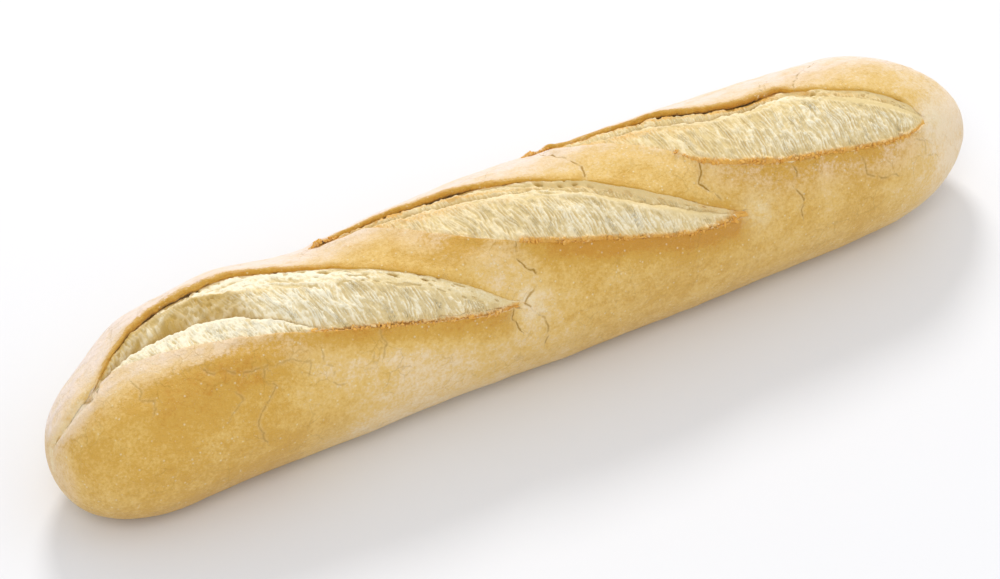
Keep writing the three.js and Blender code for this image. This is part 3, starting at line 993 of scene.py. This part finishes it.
def crust_finish(look):
    f = Finish("crust", Specular_IOR_Level=0.52, Sheen_Weight=0.2, Sheen_Roughness=0.45)
    bake, torn, flour = f.attribute("bake"), f.attribute("torn"), f.attribute("flour")
    side, near = f.attribute("crack_side"), f.attribute("crack_near")
    blotch = f.speckle(20, 3.0, 0.55)
    mottle = f.speckle(3.4, 4.0, 0.65)
    fine = f.speckle(0.9, 3.0, 0.65)
    dapple = f.speckle(7, 3.0, 0.6)
    wrinkle = f.speckle(3.6, 4.0, 0.6, f.stretched(2.2))
    level = bake + (blotch - 0.5) * 0.55 + (dapple - 0.5) * 0.2 - (wrinkle - 0.5) * 0.35
    level = level + (mottle - 0.5) * 0.65 + (fine - 0.5) * 0.85
    pale, tan = f.colour(look.crust_pale), f.colour(look.crust_tan)
    golden, brown = f.colour(look.crust_golden), f.colour(look.crust_brown)
    colour = pale.blend(tan, level.step(-0.12, 0.48))
    colour = colour.blend(golden, level.step(0.38, 0.78))
    colour = colour.blend(brown, level.step(0.78, 1.2))
    # painted sheen: pale pink over the crust that faces up and below the front lips, stronger on the
    # wrinkles' ridges, standing for the light's glint
    sheen = f.attribute("blush") * (wrinkle.step(0.3, 0.66) * 0.46 + 0.38)
    colour = colour.blend(f.colour(look.crust_sheen), sheen * (1 - level.step(0.5, 0.85)))
    bent = f.shifted(2.6, 3.0)
    web = f.cells(6.0, "DISTANCE_TO_EDGE", bent)
    shown = f.speckle(13, 1.0).step(0.52, 0.66)
    web_line = (1 - web.step(0.012, 0.03)) * shown
    web_side = (1 - web.step(0.02, 0.06)) * shown
    colour = colour.blend(f.colour(look.crack), web_line * 0.28)
    specks = 1 - f.cells(1.9).step(0.08, 0.22)
    specks = specks * f.speckle(3.0, 0.0).step(0.42, 0.56)
    dust = 1 - f.cells(0.8).step(0.05, 0.30)
    colour = colour.blend(f.colour(look.flour), specks * 0.45)
    colour = colour.blend(f.colour(look.flour), dust * f.speckle(2.0).step(0.45, 0.7) * 0.25)
    colour = colour.blend(f.colour(look.flour), flour * f.speckle(2.5, 3.0, 0.6).step(0.3, 0.6) * 0.75)
    jag = f.speckle(0.7, 2.0) - 0.5
    wander = f.speckle(2.6, 2.0) - 0.5
    line = side + jag * 0.4 + wander * 0.9
    broken = f.speckle(3.2, 2.0).step(0.36, 0.52)
    crack = line.bell(0.5) * near * broken
    rim = line.bell(1.2) * near * broken
    colour = colour.blend(f.colour(look.flour), rim * 0.22)
    colour = colour.blend(f.colour(look.crack), crack)
    grain = f.speckle(0.45, 3.0, 0.7)
    crumb = f.colour(look.torn_edge).blend(f.colour(look.crumb_cream), grain.step(0.4, 0.7))
    colour = colour.blend(crumb, torn)
    height = (
        grain * 0.42
        + f.speckle(1.4, 3.0, 0.6) * 0.32
        + specks * 0.12
        + dust * 0.04
        + web_side * 0.04
        - web_line * 0.02
        - crack * 0.05
        + mottle * 0.22
        + wrinkle * (f.attribute("blush") * 1.7 + 0.45)
    )
    roughness = 0.52 + (fine - 0.5) * 0.2 + torn * 0.3
    return f.finish(colour, roughness, height, 1.0, 0.9)


def crumb_finish(look):
    f = Finish("crumb", Specular_IOR_Level=0.3)
    bake, painted_shade, relief = f.attribute("bake"), f.attribute("painted_shade"), f.attribute("relief")
    patches = f.speckle(7, 3.0, 0.6)
    grain = f.speckle(0.6, 3.0, 0.7)
    level = bake * 0.9 + (patches - 0.5) * 0.45 + (grain - 0.5) * 0.7
    colour = f.colour(look.crumb_white).blend(f.colour(look.crumb_cream), level.step(0.0, 0.34))
    colour = colour.blend(f.colour(look.torn_edge), level.step(0.42, 0.95))
    # painted shade between the torn strands, darker where the relief is low
    hollow_shade = (relief * -1 + (grain - 0.5) * 0.5).step(-0.26, 0.24)
    colour = colour.blend(f.colour(look.hollow_shade), hollow_shade * 0.66 * (1 - level.step(0.4, 0.95) * 0.75))
    # painted shade at the bottom of gaps, in bubbles and under the ears
    colour = colour.blend(f.colour(look.painted_shade), painted_shade.step(0.1, 0.9) * 0.85)
    height = grain * 0.4 + f.speckle(1.3, 2.0) * 0.2
    roughness = 0.8 + (grain - 0.5) * 0.2
    return f.finish(colour, roughness, height, 1.0, 0.8)


# ---------- the add-on ----------


def colour_property(name, description, default):
    return FloatVectorProperty(
        name=name, description=description, default=default, size=3, min=0, max=1, subtype="COLOR"
    )


class BaguetteSizes(bpy.types.PropertyGroup):
    rings: IntProperty(name="Rings", description="Rings of points along the crust", default=470, min=60)
    bridge_lines: IntProperty(name="Bridge lines", description="Lines between two cuts", default=36)
    belly_lines: IntProperty(name="Belly lines", description="Lines round the plain side", default=82)
    crumb_grid: FloatProperty(name="Crumb grid", description="Point spacing of the crumb, mm", default=0.22)


class BaguetteLook(bpy.types.PropertyGroup):
    crust_pale: colour_property("Pale crust", "Thin, least baked crust", (0.90, 0.715, 0.47))
    crust_tan: colour_property("Tan crust", "The crust's main tone", (0.79, 0.515, 0.135))
    crust_golden: colour_property("Golden crust", "Well baked crust", (0.665, 0.375, 0.046))
    crust_brown: colour_property("Brown crust", "The most baked edges", (0.60, 0.28, 0.015))
    # painted sheen: the pale pink standing for the light's glint on the crust that faces up
    crust_sheen: colour_property("Blush", "Pinkish bloom of the crust that faces up", (0.95, 0.79, 0.71))
    flour: colour_property("Blisters", "Tiny pale blisters", (0.95, 0.85, 0.58))
    crack: colour_property("Cracks", "Inside a crack", (0.41, 0.21, 0.0))
    crumb_white: colour_property("White crumb", "Fresh torn crumb", (0.95, 0.88, 0.68))
    crumb_cream: colour_property("Cream crumb", "Dried crumb", (0.90, 0.76, 0.48))
    torn_edge: colour_property("Toasted crumb", "Crumb at the lips", (0.77, 0.42, 0.085))
    # colours of the painted shade: between the torn strands, and in the gaps and under the ears
    hollow_shade: colour_property("Hollow shade", "Between the torn strands", (0.68, 0.51, 0.20))
    painted_shade: colour_property("Painted crumb shade", "At the bottom of a gap", (0.50, 0.31, 0.05))


class BaguetteStage(bpy.types.PropertyGroup):
    azimuth: FloatProperty(name="View azimuth", description="Degrees round from the front", default=-30.86)
    elevation: FloatProperty(name="View elevation", description="Degrees above the table", default=42.0)
    distance: FloatProperty(name="Distance", description="Camera to loaf", default=0.9547, unit="LENGTH")
    lens: FloatProperty(name="Lens", description="Focal length, mm", default=116.9)
    sky: FloatProperty(name="Sky", description="Brightness of the light all round", default=0.75)
    key: FloatProperty(name="Key light", description="Power of the window light, watts", default=11.1)
    fill: FloatProperty(name="Fill light", description="Power of the fill light, watts", default=5.2)
    side: FloatProperty(name="Side light", description="Power of the far end's light, watts", default=1.8)


class BAGUETTE_OT_crust(bpy.types.Operator):
    """Makes the whole crust, with its lips, ears and cracks"""

    bl_idname = "baguette.crust"
    bl_label = "Bake the crust"

    def execute(self, context):
        scene = context.scene
        crust = make_crust(scene.baguette_sizes, crust_finish(scene.baguette_look))
        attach(crust, "root")
        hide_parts(NODE)
        return {"FINISHED"}


class BAGUETTE_OT_crumb(bpy.types.Operator):
    """Makes the torn crumb that shows in each cut"""

    bl_idname = "baguette.crumb"
    bl_label = "Tear the crumb"

    def execute(self, context):
        scene = context.scene
        material = crumb_finish(scene.baguette_look)
        for cut in CUTS:
            crumb = make_crumb(cut, scene.baguette_sizes, material)
            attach(crumb, "root")
        return {"FINISHED"}


class BAGUETTE_OT_lip_crumbs(bpy.types.Operator):
    """Scatters toasted crumbs along the front lips"""

    bl_idname = "baguette.lip_crumbs"
    bl_label = "Scatter the lip crumbs"

    def execute(self, context):
        crumbs = make_lip_crumbs(bpy.data.materials["crumb"])
        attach(crumbs, "root")
        return {"FINISHED"}


AIM = Vector((0.00065, 0.01631, 0))  # what the camera and the lights look at
TABLE_HALF = 6.0
TABLE_DROP = 0.0002  # keeps the table's face just clear of the sole
TABLE_TONES = (0.79, 0.795, 0.82), (0.785, 0.79, 0.815)
SENSOR = 36  # mm


def linked(name, data):
    obj = bpy.data.objects.new(name, data)
    bpy.context.scene.collection.objects.link(obj)
    return obj


def looking(name, data, place):
    """An object at a place, looking at the loaf."""
    obj = linked(name, data)
    obj.location = place
    obj.rotation_euler = (AIM - place).to_track_quat("-Z", "Y").to_euler()
    return obj


def around(azimuth, elevation, distance):
    """The point at a distance from the loaf, seen from azimuth (0 looks along +Y) and elevation."""
    a, e = math.radians(azimuth), math.radians(elevation)
    way = Vector((math.sin(a) * math.cos(e), -math.cos(a) * math.cos(e), math.sin(e)))
    return AIM + way * distance


class BAGUETTE_OT_stage(bpy.types.Operator):
    """Makes the table, the lights and the camera"""

    bl_idname = "baguette.stage"
    bl_label = "Set the stage"

    def execute(self, context):
        scene, stage = context.scene, context.scene.baguette_stage
        paper = Finish("table", Specular_IOR_Level=0.15)
        cool, grey = (paper.colour(tone) for tone in TABLE_TONES)
        paper.finish(
            cool.blend(grey, paper.speckle(60)), paper.speckle(20) * 0.1 + 0.7, paper.speckle(0.8), 0.02, 0.05
        )
        mesh = bpy.data.meshes.new("table")
        corners = [(TABLE_HALF * a, TABLE_HALF * b, 0) for a, b in ((-1, -1), (1, -1), (1, 1), (-1, 1))]
        mesh.from_pydata(corners, [], [(0, 1, 2, 3)])
        mesh.materials.append(paper.material)
        table = linked("table", mesh)
        table.location.z = -TABLE_DROP

        data = bpy.data.cameras.new("camera")
        data.lens, data.sensor_width, data.clip_end = stage.lens, SENSOR, 20
        scene.camera = looking("camera", data, around(stage.azimuth, stage.elevation, stage.distance))

        # name, degrees round from the camera, elevation, distance, size, power, colour
        for name, turn, elevation, distance, size, power, colour in (
            ("window", 188, 42, 1.5, 0.42, stage.key, (1, 0.985, 0.96)),
            ("fill", -8, 50, 1.6, 0.9, stage.fill, (1, 1, 1)),
            ("side", 95, 28, 1.5, 0.8, stage.side, (1, 1, 1)),
        ):
            data = bpy.data.lights.new(name, "AREA")
            data.shape, data.size, data.energy, data.color = "DISK", size, power, colour
            looking(name, data, around(stage.azimuth + turn, elevation, distance))
        world = bpy.data.worlds.new("studio")
        world.use_nodes = True
        background = world.node_tree.nodes["Background"]
        background.inputs["Color"].default_value = (1, 1, 1, 1)
        background.inputs["Strength"].default_value = stage.sky
        scene.world = world
        scene.view_settings.view_transform = "Standard"
        return {"FINISHED"}


class BAGUETTE_PT_panel(bpy.types.Panel):
    bl_label = "Baguette"
    bl_idname = "BAGUETTE_PT_panel"
    bl_space_type = "VIEW_3D"
    bl_region_type = "UI"
    bl_category = "Baguette"

    def draw(self, context):
        for group in GROUPS:
            values = getattr(context.scene, group)
            for key in values.bl_rna.properties.keys():
                if key not in ("rna_type", "name"):
                    self.layout.prop(values, key)
        for operator in OPERATORS:
            self.layout.operator(operator.bl_idname)


GROUPS = {"baguette_sizes": BaguetteSizes, "baguette_look": BaguetteLook, "baguette_stage": BaguetteStage}
OPERATORS = (BAGUETTE_OT_stage, BAGUETTE_OT_crust, BAGUETTE_OT_crumb, BAGUETTE_OT_lip_crumbs)
CLASSES = (*GROUPS.values(), *OPERATORS, BAGUETTE_PT_panel)


def register():
    for cls in CLASSES:
        bpy.utils.register_class(cls)
    for key, group in GROUPS.items():
        setattr(bpy.types.Scene, key, PointerProperty(type=group))


def unregister():
    for key in GROUPS:
        delattr(bpy.types.Scene, key)
    for cls in reversed(CLASSES):
        bpy.utils.unregister_class(cls)


def main():
    register()
    bpy.ops.baguette.stage()
    bpy.ops.baguette.crust()
    bpy.ops.baguette.crumb()
    bpy.ops.baguette.lip_crumbs()


if __name__ == "__main__":
    main()
